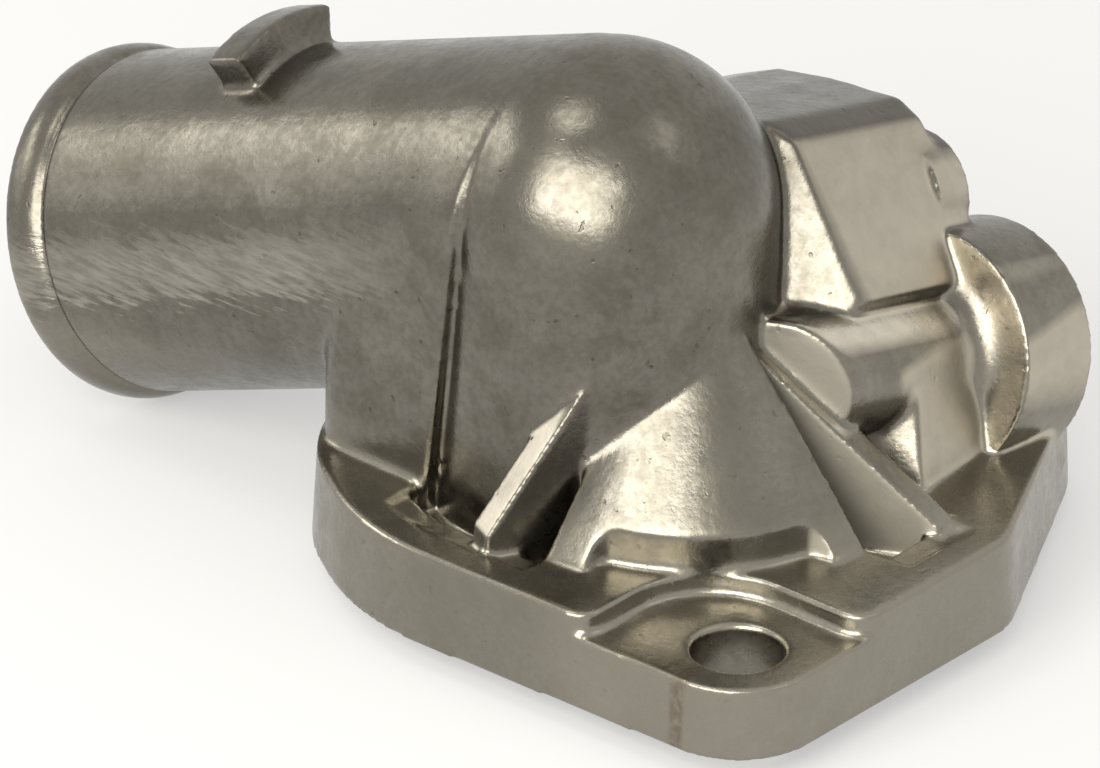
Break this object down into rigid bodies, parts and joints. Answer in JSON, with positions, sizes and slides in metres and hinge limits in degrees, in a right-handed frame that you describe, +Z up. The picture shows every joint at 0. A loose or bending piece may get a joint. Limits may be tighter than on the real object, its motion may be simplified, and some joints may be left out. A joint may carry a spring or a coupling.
{
  "type": "coolant water outlet",
  "caption": "Cast aluminium coolant outlet: bolted flange, domed tower, downward hose neck with a bead, ribbed conical hood and a side port.",
  "frame": {"origin": "on the mating face, below the centre of the domed tower", "axes": "+Z up out of the mating face, -X towards the hose neck, +Y towards the side port"},
  "size_m": [0.1025, 0.0669, 0.0531],
  "materials": {
    "cast_aluminium": "as-cast, semi-gloss, lightly stained"
  },
  "bodies": {
    "root": {"outlet_casting": "cast_aluminium"}
  },
  "joints": []
}
